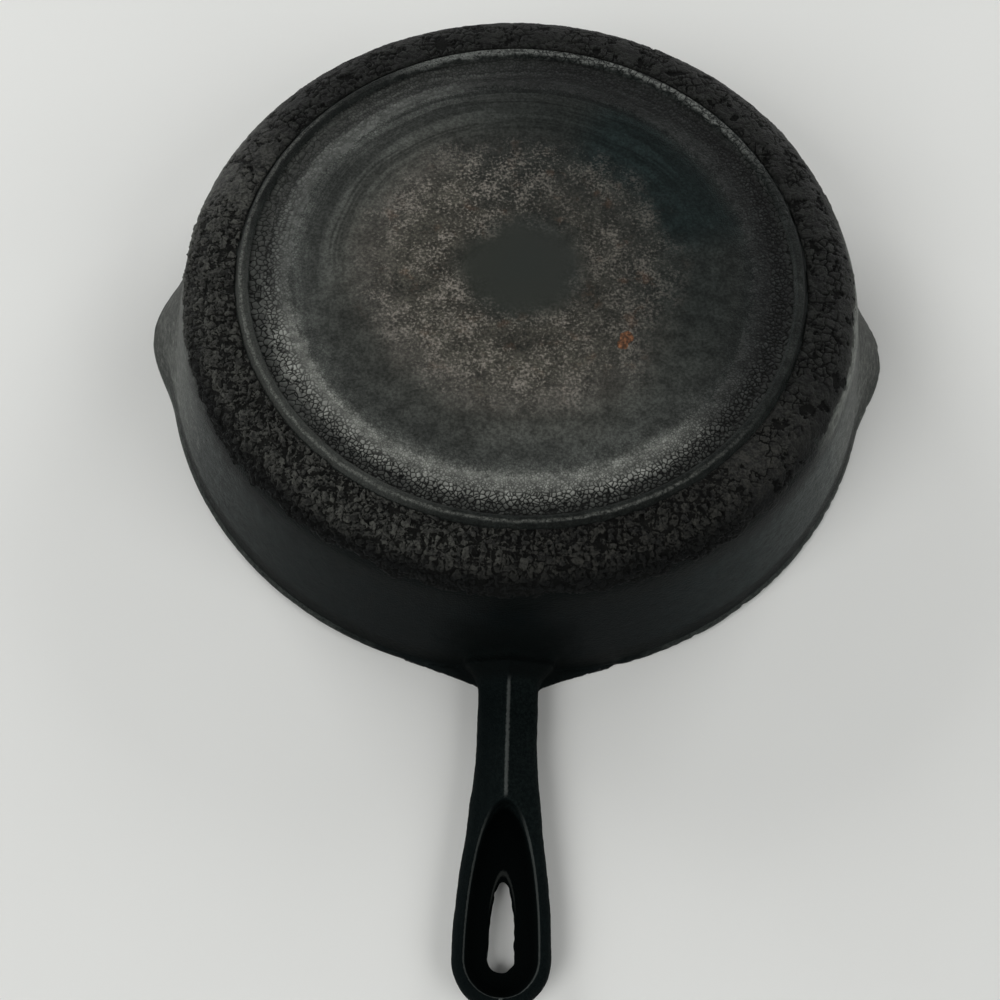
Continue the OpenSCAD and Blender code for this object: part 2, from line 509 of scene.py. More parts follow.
def handle_roof(x, s, half, root, hollow):
    """Height of the handle's upper side: it falls from the ridge to both edges, and towards the tip."""
    recess_at = EYE_AT + RECESS_R - RECESS_LEN
    fall = (RIDGE_Z - EDGE_Z - TIP_CROWN) * ease((s - recess_at) / RECESS_LEN)
    ridge = RIDGE_Z + ROOT_RISE * root - fall
    edge = EDGE_Z + ROOT_RISE * root
    roof = ridge - (ridge - edge) * np.abs(x) / half
    spine = np.exp(-(x / 0.55) ** 2) * ease((s - RIM_R - 3) / 4) * (hollow > 0)
    roof = roof + SPINE_H * spine * (1 + 0.4 * ripple(x, s, 0 * s, 5, 8))
    return roof + LIP_H * np.exp(-((hollow - 0.5) / 0.6) ** 2)


def run_into_wall(body, x, y, z):
    """Joins the handle to the bowl's wall with a fillet, and ends it inside the wall's thickness."""
    radius = np.hypot(x, y)
    wall = (radius - RIM_R + z * math.tan(LEAN)) * math.cos(LEAN)
    wall = np.minimum(wall, blend_high(radius - RIM_R, z - BAND_H, 1.5))
    joined = blend_low(body, wall, ROOT_FILLET)
    reach = np.maximum(body - 0.92 * ROOT_FILLET, -(wall + 2.0))
    return np.maximum(np.maximum(joined, reach), 0.4 - z)


def handle_field(x, y, z):
    """Distance from the handle's surface, below 0 inside, with its root run into the wall."""
    s = -y
    root = np.clip((NECK_AT - s) / (NECK_AT - RIM_R), 0, 1.05) ** 7
    near = np.clip(1 - (np.hypot(x, y) - RIM_R) / FLANGE_OUT, 0, 1) ** 2.2
    flange = FLANGE_W * near * (1 - 0.9 * ease((z - FLANGE_H) / FLANGE_H))
    half = NECK_W / 2 + (END_R - NECK_W / 2) * ease((s - NECK_AT) / (EYE_AT - NECK_AT))
    half = half + 0.25 * ROOT_SPREAD * root + flange + 0.12 * ripple(0 * s, s, 0 * s, 23, 3)
    side_gap = np.where(s > EYE_AT, np.hypot(x, s - EYE_AT) - END_R, np.abs(x) - half)
    hollow = teardrop(x, s, RECESS_LEN - RECESS_R, RECESS_R)
    roof = handle_roof(x, s, half, root, hollow)
    body = blend_high(side_gap, (z - roof) * 0.95, TOP_ROUND)
    body = blend_high(body, PALM_Z - z, PALM_ROUND)
    pocket = blend_high(hollow, RECESS_FLOOR + 0.012 * x * x - z, RECESS_CORNER)
    body = blend_high(body, -pocket, RECESS_ROUND)
    slot = teardrop(x, s, SLOT_LEN - SLOT_R, SLOT_R) + 0.2 * ripple(x, s, z, 4.5, 5)
    body = blend_high(body, -slot, SLOT_ROUND)
    body = body + 0.05 * ripple(x, y, z, 2.6, 21) + 0.07 * ripple(x, y, z, 9, 22)
    return run_into_wall(body, x, y, z)


def net_points(value):
    """A point in each grid cell that the surface passes through, and the number of each cell's point."""
    inside = value < 0
    shape = tuple(n - 1 for n in value.shape)
    total = np.zeros(shape + (3,))
    count = np.zeros(shape)
    corners = [(i, j, k) for i in (0, 1) for j in (0, 1) for k in (0, 1)]
    cut = {c: tuple(slice(o, o + n) for o, n in zip(c, shape)) for c in corners}
    for a in corners:
        for axis in range(3):
            if a[axis]:
                continue
            b = tuple(o + (n == axis) for n, o in enumerate(a))
            va, vb = value[cut[a]], value[cut[b]]
            crosses = inside[cut[a]] != inside[cut[b]]
            share = np.where(crosses, va / np.where(crosses, va - vb, 1), 0)
            for n in range(3):
                total[..., n] += np.where(crosses, a[n] + (share if n == axis else 0), 0)
            count += crosses
    used = count > 0
    number = np.full(shape, -1)
    number[used] = np.arange(used.sum())
    return np.argwhere(used) + total[used] / count[used][:, None], number


def net_quads(inside, number):
    """A quad round each grid line that passes through the surface, turned to face outwards."""
    quads = []
    for axis in range(3):
        p, q = [n for n in range(3) if n != axis]
        here = [slice(None)] * 3
        there = [slice(None)] * 3
        here[axis] = slice(0, -1)
        there[axis] = slice(1, None)
        starts_in = inside[tuple(here)]
        crosses = starts_in != inside[tuple(there)]
        for cell in np.argwhere(crosses):
            if min(cell[p], cell[q]) < 1:
                continue
            around = []
            for dp, dq in ((-1, -1), (0, -1), (0, 0), (-1, 0)):
                spot = list(cell)
                spot[p] += dp
                spot[q] += dq
                around.append(number[tuple(spot)])
            flip = bool(starts_in[tuple(cell)]) != (axis == 1)
            quads.append(around if flip else around[::-1])
    return quads


def surface_net(field, low, high, step):
    """Points and quads of the closed surface where a field is 0, settled onto it."""
    axes = [np.arange(a, b + step, step) for a, b in zip(low, high)]
    value = field(*np.meshgrid(*axes, indexing="ij"))
    points, number = net_points(value)
    points = np.array(low) + points * step
    for _ in range(4):
        points -= settle_step(field, points, step)
    return points, net_quads(value < 0, number)


def settle_step(field, points, step):
    """How far each point has to move to lie on the surface where the field is 0."""
    tiny = 0.02
    x, y, z = points.T
    value = field(x, y, z)
    slope = np.stack([field(x + tiny, y, z), field(x, y + tiny, z), field(x, y, z + tiny)], 1)
    slope = (slope - value[:, None]) / tiny
    move = (value / np.maximum((slope ** 2).sum(1), 0.1))[:, None] * slope
    return np.clip(move, -step / 3, step / 3)


def make_handle(step, finish):
    low = (-42, -HANDLE_TIP - 2, -1)
    high = (42, -RIM_R + 12, 30)
    points, quads = surface_net(handle_field, low, high, step)
    mesh = bpy.data.meshes.new("handle")
    mesh.from_pydata([tuple(p) for p in points * MM], [], quads)
    mesh.materials.append(finish)
    mesh.shade_smooth()
    handle = bpy.data.objects.new("handle", mesh)
    bpy.context.scene.collection.objects.link(handle)
    settle_normals(handle)
    return handle


def weather_tree():
    """Gives the casting the slight unevenness of sand cast iron, and its rim a ragged edge."""
    g, value = new_tree(
        "weather", Waviness="NodeSocketFloat", Ragged="NodeSocketFloat", Material="NodeSocketMaterial")
    spot = g.add("GeometryNodeInputPosition") / MM
    x, y, z = g.parts(spot)
    radius = off_axis(x, y)
    wave = g.noise(spot, 30, 1.0) - 0.8
    rim = g.fade(z, 5.0, 3.5) * g.fade(radius, RIM_R - 3, RIM_R - 1.5) * g.fade(radius, RIM_R + 9, RIM_R + 8)
    chips = g.fade(g.noise(spot, 4, 3.0, 0.6, 31.0), 0.48, 0.72)
    right = side(g, x, y, radius, 55, 45, 30) * 0.8 + 0.2
    inward = wave * value["Waviness"] - chips * rim * right * value["Ragged"]
    push = g.add("GeometryNodeInputNormal") * (inward * MM)
    moved = g.add("GeometryNodeSetPosition", None, {"Geometry": value["Geometry"], "Offset": push})
    close_tree(g, moved, value["Material"])
    return g


def make_casting(segments, step, finish):
    """One closed casting: the handle is joined to the bowl, and the whole is weathered."""
    bowl = make_bowl(segments, finish)
    settle_normals(bowl)
    handle = make_handle(step, finish)
    union = bowl.modifiers.new("join", "BOOLEAN")
    union.operation = "UNION"
    union.solver = "MANIFOLD"
    union.object = handle
    graph = bpy.context.evaluated_depsgraph_get()
    whole = bpy.data.meshes.new_from_object(bowl.evaluated_get(graph), depsgraph=graph)
    bpy.data.objects.remove(bowl)
    bpy.data.objects.remove(handle)
    return grown("casting", whole, weather_tree(), Waviness=0.22, Ragged=0.9, Material=finish)


# ---------------------------------------------------------------- burnt carbon

def crust_pattern(g, bed):
    """How the crust on the shoulder is broken up, from the point of the bare iron under it.
    Gives its height in millimetres, how deep in a crack a point is, and a value for each flake."""
    x, y, z = g.parts(bed)
    radius = off_axis(x, y)
    right = side(g, x, y, radius, 150, 100, 22)
    # How far a point lies below the base's plane says how near the ragged lower edge is
    fall = BASE_Z - z
    stray = g.noise(bed, 9, 4.0, 0.6, 7.0) - 0.5
    rubbed_off = side(g, x, y, radius, 84, 28, 20) * 6.0
    inside = 9.5 + right * 4.0 - rubbed_off - fall + stray * 12.0
    start = radius + stray * 5.0
    cover = g.fade(inside, -1.5, 5.0) * g.fade(start, RING_R + 1.6, RING_R + 4.2)
    torn = g.stirred(g.stirred(bed, 4.5, 1.7, 3.0), 1.0, 0.16, 2.0, 11.0)
    tip, tone = shards(g, torn, FLAKE)
    small_tip, small_tone = shards(g, torn, SMALL_FLAKE)
    rough = g.noise(bed, 1.6, 5.0, 0.72, 3.0) - 0.5
    split = g.fade(g.cracks(torn, FLAKE), 0.34, 0.04)
    holes = g.fade(g.noise(bed, 3.4, 4.0, 0.65, 19.0), 0.42, 0.35)
    bark = tip * 1.5 + small_tip * 2.2 - split * 0.5 + rough * 0.6 - holes * 0.8 + 0.25
    # On the right and behind the crust is smoother: cracks part it near the ring, and chips are missing
    gap = g.cracks(g.stirred(bed, 3.4, 1.5, 4.0), 3.4)
    chips = g.fade(g.noise(bed, 6.5, 4.0, 0.65, 23.0), 0.57, 0.61)
    near_ring = g.fade(fall, 3.8, 0.8) * g.fade(g.noise(bed, 12, 3.0, 0.6, 29.0), 0.4, 0.55)
    lumps = g.noise(bed, 4.5, 3.0, 0.6, 37.0) - 0.5
    plain = 0.3 - g.fade(gap, 0.34, 0.03) * near_ring - chips * 1.3 + rough * 0.9 + lumps * 1.4
    height = bark * (1.0 - right) + plain * right
    body = (height * 0.7 + 0.45).most(0.06) * cover - g.fade(cover, 0.4, 0.0) * 0.6
    return body, g.fade(height, -0.05, -0.65), tone * 0.5 + small_tone * 0.5


def craze_lines(g, point):
    """The point moved about as the lines of the crazing are."""
    return g.stirred(point, 3.0, 0.6, 1.0)


def craze_pattern(g, bed):
    """Carbon on the base, crazed into fine cells: height, how deep in a crack, and a cell's value."""
    x, y, _ = g.parts(bed)
    radius = off_axis(x, y)
    left = side(g, x, y, radius, -105, 60, 25)
    warped = craze_lines(g, bed)
    # The cells are widest beside the ring
    wide = g.fade(g.cracks(warped, WIDE_CELL), 0.03, 0.34)
    close = g.fade(g.cracks(warped, CLOSE_CELL), 0.03, 0.36)
    fine = g.fade(g.cracks(warped, FINE_CELL), 0.02, 0.26)
    lift = g.cell_value(warped, CLOSE_CELL)
    flanks = g.fade(facing(g, x, y, radius, 0).do("ABSOLUTE"), 0.75, 0.55)
    outer = g.fade(radius + left * 3.0 - close * 0.8, 94.0, 95.2) * flanks
    inner = g.fade(radius + left * 3.0, 89.5, 86.5)
    cells = (wide * outer + close * (1.0 - outer)) * (1.0 - inner) + fine * inner
    stray = g.noise(bed, 8, 3.0, 0.6, 2.0) - 0.5
    cover = g.fade(radius + stray * 7.0, 79.0, 87.0)
    height = (cells - 0.7) * 0.34 * cover + cover * 0.43 + lift * 0.08 - 0.25
    deep = (1.0 - cells) * g.fade(radius, 82.0, 92.0, 0.35, 1.0)
    return height, deep * (1.0 - side(g, x, y, radius, -170, 50, 40) * 0.5), lift


def carbon_tree(name, pattern, shoulder):
    """A sheet that follows the iron over part of a turn, raised by a pattern and closed beneath.
    Reach is measured along the iron from the edge of the flat base."""
    g, value = new_tree(
        name, Start="NodeSocketFloat", Turn="NodeSocketFloat", Columns="NodeSocketInt",
        Rows="NodeSocketInt", Reach_From="NodeSocketFloat", Reach_To="NodeSocketFloat",
        Depth="NodeSocketFloat", Material="NodeSocketMaterial")
    # Three more rows run back under the sheet, and the last of them closes on the first
    sheet = g.add("GeometryNodeMeshGrid", None, {
        "Size X": 1.0, "Size Y": 1.0, "Vertices X": value["Columns"] + 1, "Vertices Y": value["Rows"] + 4})
    across, down, _ = g.parts(g.add("GeometryNodeInputPosition"))
    row = ((down + 0.5) * (value["Rows"] + 3)).do("ROUND")
    under = g.fade(row, value["Rows"] - 0.6, value["Rows"] - 0.4)
    back = (row - value["Rows"]).most(0.0)
    wrap = g.fade(back, 2.4, 2.6)
    share = (row / (value["Rows"] - 1)) * (1.0 - under) + (1.0 - back / 2.0).most(0.0) * under
    reach = value["Reach From"] + (value["Reach To"] - value["Reach From"]) * share
    flat = reach.least(0.0) if shoulder else reach
    radius = flat + BASE_R
    height = flat * 0.0 + BASE_Z
    tip = flat * 0.0
    if shoulder:
        angle = (reach / SHOULDER_R).most(0.0).least(math.pi / 2 - LEAN)
        down_wall = (reach - SHOULDER_LEN).most(0.0)
        radius = radius + angle.do("SINE") * SHOULDER_R + down_wall * math.sin(LEAN)
        height = height - (1.0 - angle.do("COSINE")) * SHOULDER_R - down_wall * math.cos(LEAN)
        tip = angle
    turn = value["Start"] + value["Turn"] * (across + 0.5)
    east = turn.do("SINE")
    south = turn.do("COSINE") * -1.0
    bed = g.joined(radius * east, radius * south, height)
    outward = g.joined(tip.do("SINE") * east, tip.do("SINE") * south, tip.do("COSINE"))
    body, _, _ = pattern(g, bed)
    body = body.least(CRUST_MOST if shoulder else TOP - CRAZE_CLEAR - height)
    sunk = under * (1.0 - wrap)
    raised = body * (1.0 - sunk) - value["Depth"] * sunk
    # The finish reads the point of bare iron that each point is raised from
    marked = g.add("GeometryNodeStoreNamedAttribute", {"data_type": "FLOAT_VECTOR"}, {
        "Geometry": sheet, "Name": "bed", "Value": bed})
    place = (bed + outward * raised) * MM
    moved = g.add("GeometryNodeSetPosition", None, {"Geometry": marked, "Position": place})
    joined = g.add("GeometryNodeMergeByDistance", None, {0: moved, "Distance": 0.002 * MM})
    close_tree(g, joined, value["Material"])
    return g


def make_carbon(name, g, start, turn, columns, rows, reach, depth, finish):
    """One closed piece of carbon; start and turn are bearings in degrees, from the handle."""
    seed_mesh = bpy.data.meshes.new(name + "_seed")
    piece = grown(
        name, seed_mesh, g, Start=math.radians(start), Turn=math.radians(turn), Columns=columns,
        Rows=rows, Reach_From=reach[0], Reach_To=reach[1], Depth=depth, Material=finish)
    settle_normals(piece)
    return piece


# ---------------------------------------------------------------- rust

def rust_tree():
    """A thin scab in two lobes, grown from a ball that is pressed flat and roughened."""
    g, value = new_tree(
        "rust", Length="NodeSocketFloat", Height="NodeSocketFloat", Turn="NodeSocketFloat",
        Place="NodeSocketVector", Material="NodeSocketMaterial")
    ball = g.add("GeometryNodeMeshIcoSphere", None, {"Radius": 1.0, "Subdivisions": 6})
    point = g.add("GeometryNodeInputPosition")
    x, y, z = g.parts(point)
    waist = 0.42 + (x + 0.15).do("ABSOLUTE").least(0.5) * 0.5
    rough = g.noise(point, 0.35, 4.0, 0.7, 5.0) - 0.5
    edge = 1.0 + (g.noise(point, 0.6, 3.0, 0.7, 9.0) - 0.5) * 0.7
    half = value["Length"] / 2
    flat = g.joined(x * edge * half, y * edge * waist * half, (z + rough * 0.9) * value["Height"] * 0.5)
    turned = g.add("ShaderNodeVectorRotate", {"rotation_type": "Z_AXIS"}, {
        "Vector": flat, "Angle": value["Turn"]})
    moved = g.add("GeometryNodeSetPosition", None, {
        "Geometry": ball, "Position": (turned + value["Place"]) * MM})
    close_tree(g, moved, value["Material"])
    return g


def make_rust(finish):
    scab = grown(
        "rust_scab", bpy.data.meshes.new("rust_seed"), rust_tree(), Length=7.6, Height=0.6,
        Turn=math.radians(62), Place=(36.4, -28.9, BASE_Z - 0.1), Material=finish)
    settle_normals(scab)
    return scab


# ---------------------------------------------------------------- finishes

def new_finish(name):
    finish = bpy.data.materials.new(name)
    finish.use_nodes = True
    finish.node_tree.nodes.clear()
    return finish, Graph(finish.node_tree)


def close_finish(g, colour, rough, normal, gloss, tint=(1, 1, 1)):
    """Ends a material: what varies feeds the colour, the roughness and the normal."""
    shader = g.add("ShaderNodeBsdfPrincipled", None, {
        "Base Color": colour, "Roughness": rough, "Normal": normal, "Specular IOR Level": gloss,
        "Specular Tint": tint})
    g.add("ShaderNodeOutputMaterial", None, {0: shader})


def bumped(g, height, depth_mm):
    return g.add("ShaderNodeBump", None, {"Height": height, "Distance": depth_mm * MM, "Strength": 1.0})


def base_colour(g, spot):
    """The burnt base from its middle to past the ring: painted paler on the left and darker on the right, as
    the light falls, with a painted sheen in front.
    """
    x, y, _ = g.parts(spot)
    radius = off_axis(x, y).most(0.01)
    # Painted light: the left of the base is made paler and the right darker, as the light falls across it
    lit_side = side(g, x, y, radius, -58, 76, 66)
    wander = (g.noise(spot, 22, 3.0, 0.5, 4.0) - 0.5) * 10.0
    far = radius + wander * g.fade(radius, 10, 30) * g.fade(radius, 92, 80)
    lit = g.ramp(far, 0, 110, [
        (0, linear(45, 48, 45)), (19, linear(47, 49, 45)), (26, linear(60, 58, 52)),
        (42, linear(73, 71, 64)), (54, linear(73, 71, 66)), (64, linear(67, 68, 64)),
        (74, linear(66, 68, 65)), (81, linear(72, 74, 71)), (88, linear(75, 77, 74)),
        (94, linear(53, 55, 52)), (98, linear(37, 39, 37)), (102, linear(32, 34, 32)),
        (107, linear(22, 24, 22))])
    shaded = g.ramp(far, 0, 110, [
        (0, linear(45, 48, 45)), (19, linear(46, 48, 45)), (27, linear(52, 51, 46)),
        (41, linear(49, 49, 45)), (52, linear(40, 42, 39)), (61, linear(36, 39, 37)),
        (70, linear(37, 40, 38)), (78, linear(37, 39, 37)), (84, linear(33, 35, 34)),
        (94, linear(22, 24, 23)), (99, linear(42, 44, 42)), (102, linear(27, 29, 28)),
        (107, linear(16, 18, 17))])
    ground = g.mixed(shaded, lit, lit_side)
    # A painted sheen: a pale band in front, a little inside the ring
    sheen = side(g, x, y, radius, -17, 44, 26) * g.band(radius + wander * 0.45, 86.8, 2.4, 5.2)
    ground = g.mixed(ground, linear(132, 134, 128), sheen * 0.62)
    # Smooth dark patches where soot still lies
    patches = (
        side(g, x, y, radius, -62, 10, 9) * g.band(far, 66, 5, 5)
        + side(g, x, y, radius, -30, 14, 12) * g.band(far, 70, 6, 5) * 0.8
        + side(g, x, y, radius, -115, 5, 6) * g.band(far, 80, 3, 4) * 0.8
        + side(g, x, y, radius, -172, 14, 18) * g.band(far, 46, 14, 8))
    ground = g.mixed(ground, linear(36, 38, 36), patches.least(1.0) * 0.5)
    teal = side(g, x, y, radius, 131, 20, 16) * g.band(far, 67, 10, 7)
    ground = g.mixed(ground, linear(20, 30, 30), teal * 0.8)
    rings = g.noise(g.joined(radius, 0.0, 0.0) + g.noise(spot, 60, 1.0) * 6.0, 3.2, 3.0, 0.6, 9.0)
    clouds = g.noise(spot, 7.0, 5.0, 0.65, 14.0)
    cloudy = g.mixed(ground * 1.28, ground * 0.76, g.fade(clouds, 0.62, 0.38))
    # Behind and on the left, faint rings run round the base
    turned = side(g, x, y, radius, -165, 50, 60) * g.fade(radius, 54, 68)
    ground = g.mixed(ground, cloudy, g.fade(radius, 13, 26) * (1.0 - turned * 0.6))
    lined = turned * 0.7 + g.fade(radius, 16, 34) * 0.2
    return g.mixed(ground * (turned * 0.25 + 1.0), ground * 0.55, g.fade(rings, 0.6, 0.42) * lined)


def mottle(g, spot, ground, far, speck, grain):
    """Salt and pepper mottle where the seasoning has burnt away. Gives the colour, how much of the
    mottle a point has, and how its flecks stand up."""
    x, y, _ = g.parts(spot)
    mottled = g.fade(far, 16, 28) * g.fade(far, 64, 44)
    patch = g.noise(spot, 11.0, 4.0, 0.65, 2.0)
    heavy = side(g, x, y, off_axis(x, y).most(0.01), -70, 80, 60) * 0.5 + 0.5
    pale = g.fade(speck + (patch - 0.5) * 0.5, 0.52, 0.59) * mottled
    dark = g.fade(speck + (patch - 0.5) * 0.4, 0.46, 0.38) * mottled
    warm = g.fade(g.noise(spot, 9, 4.0, 0.65, 8.0), 0.56, 0.72) * mottled
    ground = g.mixed(ground, linear(150, 144, 135), pale * heavy * 0.6)
    ground = g.mixed(ground, linear(26, 27, 26), dark * 0.6)
    ground = g.mixed(ground, linear(98, 72, 54), warm * 0.28)
    gritty = g.mixed(ground * 1.25, ground * 0.68, g.fade(grain, 0.66, 0.36))
    return g.mixed(ground, gritty, g.fade(far, 10, 26)), mottled, pale - dark


def ring_dirt_and_highlights(g, spot, ground, speck, waves):
    """The heat ring and the crazing beside it: dirt, dark cracks, a dark line inside the ring, and painted
    highlights on the crest in front on the left and behind. Gives the colour, and how deep the cracks are."""
    x, y, _ = g.parts(spot)
    radius = off_axis(x, y).most(0.01)
    warped = craze_lines(g, spot)
    craze = g.fade(g.cracks(warped, FINE_CELL), 0.2, 0.02) * g.fade(radius, 70, 82)
    ring_cells = g.fade(g.cracks(warped, RING_CELL), 0.4, 0.08) * g.band(radius, RING_R, 3.2, 1.0)
    ring_cells = ring_cells * side(g, x, y, radius, 145, 28, 25)
    groove = g.band(radius + (waves - 0.5) * 1.2, RING_R - 2.7, 0.2, 0.7)
    groove = groove * side(g, x, y, radius, -40, 90, 40)
    # Painted highlights: the crest, the ring in front on the left and the ring behind are made pale
    crest = g.band(radius + (waves - 0.5) * 1.6, RING_R + 0.5, 0.2, 0.7)
    crest = crest * side(g, x, y, radius, -45, 70, 35) * g.fade(speck, 0.38, 0.62)
    lit = g.band(radius, RING_R, 2.0, 0.8) * side(g, x, y, radius, -55, 24, 22)
    back = g.band(radius + (waves - 0.5) * 2.4, RING_R, 0.9, 0.9) * side(g, x, y, radius, 165, 28, 24)
    dirt = g.band(radius, RING_R, 2.6, 0.6) * g.fade(speck * 0.6 + waves * 0.4, 0.54, 0.42)
    ground = g.mixed(ground, linear(14, 15, 14), dirt * 0.62)
    ground = g.mixed(ground, linear(104, 106, 101), (crest * 0.75 + lit * 0.25).least(1.0))
    ground = g.mixed(ground, linear(120, 123, 119), back * g.fade(speck, 0.36, 0.54) * 0.78)
    dark_lines = craze * 0.4 + ring_cells * 0.6 + groove * 0.7
    return g.mixed(ground, linear(7, 8, 7), dark_lines.least(1.0)), craze * 0.5 + ring_cells * 1.5


def wall_colour(g, spot, speck, waves):
    """The wall: dark in front and behind, with painted reflections that make it paler at the sides, painted
    shade in its crease, high in front and round the handle's root, and painted highlights on the right.
    Gives its colour, its brushed grain, and where the painted shade round the handle's root lies."""
    x, y, z = g.parts(spot)
    radius = off_axis(x, y).most(0.01)
    round_about = facing(g, x, y, radius, 0) + (waves - 0.5) * 0.12
    # Painted reflections: the sides of the wall are made pale, while the front and back stay dark
    wall = g.ramp(round_about, -1, 1, [
        (-1, linear(7, 8, 7)), (-0.42, linear(4, 6, 5)), (-0.24, linear(6, 8, 6)),
        (-0.04, linear(50, 51, 48)), (0.24, linear(74, 76, 73)), (0.48, linear(40, 43, 42)),
        (0.77, linear(13, 18, 18)), (0.92, linear(2, 5, 6)), (1, linear(0, 2, 3))])
    # Painted shade: black in the crease above the bead, high on the front wall below the crust, and round
    # the handle's root
    crease = g.band(z, 7.2, 2.0, 2.6) * g.fade(round_about, -0.05, 0.4)
    front_shade = g.fade(z + (waves - 0.5) * 14.0, 35.0, 45.0) * g.fade(round_about, 0.0, 0.65)
    root = g.fade(x.do("ABSOLUTE") + (waves - 0.5) * 12.0, 30, 12) * g.fade(y, -90, -112)
    root = root * g.fade(z, 38, 24)
    wall = g.mixed(wall, linear(0, 1, 1), (crease * 0.92 + front_shade * 0.9 + root).least(1.0))
    # Painted reflection: the wall is made lighter on the front right, below the crust
    wall = wall * (side(g, x, y, radius, 45, 14, 16) * g.fade(z, 43, 36) * 0.75 + 1.0)
    # A painted highlight: a pale streak on the right, just below the crust
    shoulder_highlight = side(g, x, y, radius, 80, 10, 14) * g.band(z + (waves - 0.5) * 8.0, 46.0, 2.0, 4.0)
    wall = g.mixed(wall, linear(104, 107, 102), shoulder_highlight * 0.6)
    brushed = g.noise(g.joined(x * 0.5, y * 0.5, z), 1.5, 5.0, 0.75, 16.0)
    wall = g.mixed(wall * 1.35, wall * 0.6, g.fade(brushed, 0.6, 0.4))
    scuffs = g.fade(brushed, 0.55, 0.68) * g.band(round_about, 0.1, 0.28, 0.3)
    wall = g.mixed(wall, linear(118, 120, 115), scuffs * 0.35)
    edge = g.fade(z, 4.9, 4.2) * g.band(round_about, 0.45, 0.4, 0.12)
    wall = g.mixed(wall, linear(62, 65, 62), edge * g.fade(speck, 0.35, 0.6) * 0.7)
    return wall, brushed, root


def handle_colour(g, spot, speck, grain):
    """The handle: painted highlights on its ridge and round its recess and slot, pale specks painted
    brighter on the right, and painted shade in its recess and at its root. Gives its colour, and where its
    recess is."""
    x, y, z = g.parts(spot)
    ahead = y + EYE_AT
    eye_side = g.fade(ahead, 0.05, -0.05)
    length = (RECESS_LEN - RECESS_R) * (1.0 - eye_side) + RECESS_R * eye_side
    drop = ((x / RECESS_R) ** 2 + (ahead / length) ** 2).do("SQRT")
    in_recess = g.fade(drop, 0.99, 0.95)
    # Painted highlights: pale lines along the ridge, round the edge of the recess and round the slot
    ridge = g.fade(x.do("ABSOLUTE") + (grain - 0.5) * 1.2, 0.8, 0.3) * g.fade(drop, 1.0, 1.05)
    lip = g.band(drop + (grain - 0.5) * 0.03, 1.004, 0.008, 0.022) * g.fade(ahead, 48, 36)
    painted_highlight = (ridge * g.fade(y, -137, -141) + lip * 0.7).least(1.0) * g.fade(z, 6.5, 7.5)
    slot_edge = ((x / (SLOT_R + 0.9)) ** 2 + (ahead / (SLOT_LEN - SLOT_R + 2.6)) ** 2).do("SQRT")
    slot_lip = g.band(slot_edge + (grain - 0.5) * 0.05, 1.0, 0.01, 0.04) * g.fade(ahead, 12, 21)
    # Pale specks of the grain, painted brighter on the right slope as a highlight and fading towards the tip
    speckled_glints = g.fade(speck, 0.42, 0.62) * g.fade(x, -9, 4, 0.35, 1.0) * g.fade(y, -220, -165, 0.35, 1.0)
    # Painted shade: the recess is made black
    grip = g.mixed(g.mixed(linear(1, 4, 5), linear(16, 23, 22), speckled_glints), linear(0, 1, 1), in_recess)
    grip = g.mixed(grip, linear(44, 46, 44), slot_lip * 0.6)
    grip = g.mixed(grip, linear(82, 86, 84), painted_highlight * 0.7)
    # Painted shade: the handle is black where it runs into the wall
    return g.mixed(grip, linear(0, 1, 1), g.fade(y, -141, -136)), in_recess


def cast_iron_finish():
    """Seasoned, burnt iron with wear, and with painted light and shade: another finish for each zone of the
    casting.
    """
    finish, g = new_finish("cast_iron")
    spot = g.add("ShaderNodeTexCoord", None, None, out=3) / MM
    x, y, z = g.parts(spot)
    far = off_axis(x, y).most(0.01) + (g.noise(spot, 16, 3.0, 0.6, 4.0) - 0.5) * 22.0
    grain = g.noise(spot, 0.9, 3.0, 0.6, 12.0)
    waves = g.noise(spot, 5.0, 3.0, 0.5, 13.0)
    speck = g.noise(spot, 1.05, 6.0, 0.8, 1.0)
    ground, mottled, flecks = mottle(g, spot, base_colour(g, spot), far, speck, grain)
    ground, cracked = ring_dirt_and_highlights(g, spot, ground, speck, waves)
    wall, brushed, root = wall_colour(g, spot, speck, waves)
    grip, in_recess = handle_colour(g, spot, speck, grain)
    outer = g.mixed(grip, wall, g.fade(y, -RIM_R - 2.5, -RIM_R - 0.5))
    base = g.fade(z, BASE_Z - 1.2, BASE_Z - 0.3)
    skin = g.mixed(outer, ground, base)
    rough = 0.46 + (grain - 0.5) * 0.16 + mottled * base * 0.2
    rough = rough + (root + in_recess) * (1.0 - base) * 0.3
    relief = grain * (0.8 - base * 0.3) + brushed * (0.9 - base * 0.9) + waves * 0.9
    relief = relief - cracked + flecks * 0.6
    close_finish(g, skin, rough, bumped(g, relief, 0.12), 0.07, (0.8, 1, 0.98))
    return finish


def rust_finish():
    finish, g = new_finish("rust")
    spot = g.add("ShaderNodeTexCoord", None, None, out=3) / MM
    grain = g.noise(spot, 1.3, 5.0, 0.7, 1.0)
    colour = g.ramp(grain, 0.3, 0.7, [
        (0.3, linear(40, 33, 28)), (0.46, linear(70, 52, 40)), (0.56, linear(112, 76, 52)),
        (0.7, linear(148, 104, 74))])
    close_finish(g, colour, 0.85 + (grain - 0.5) * 0.2, bumped(g, grain, 0.25), 0.1)
    return finish


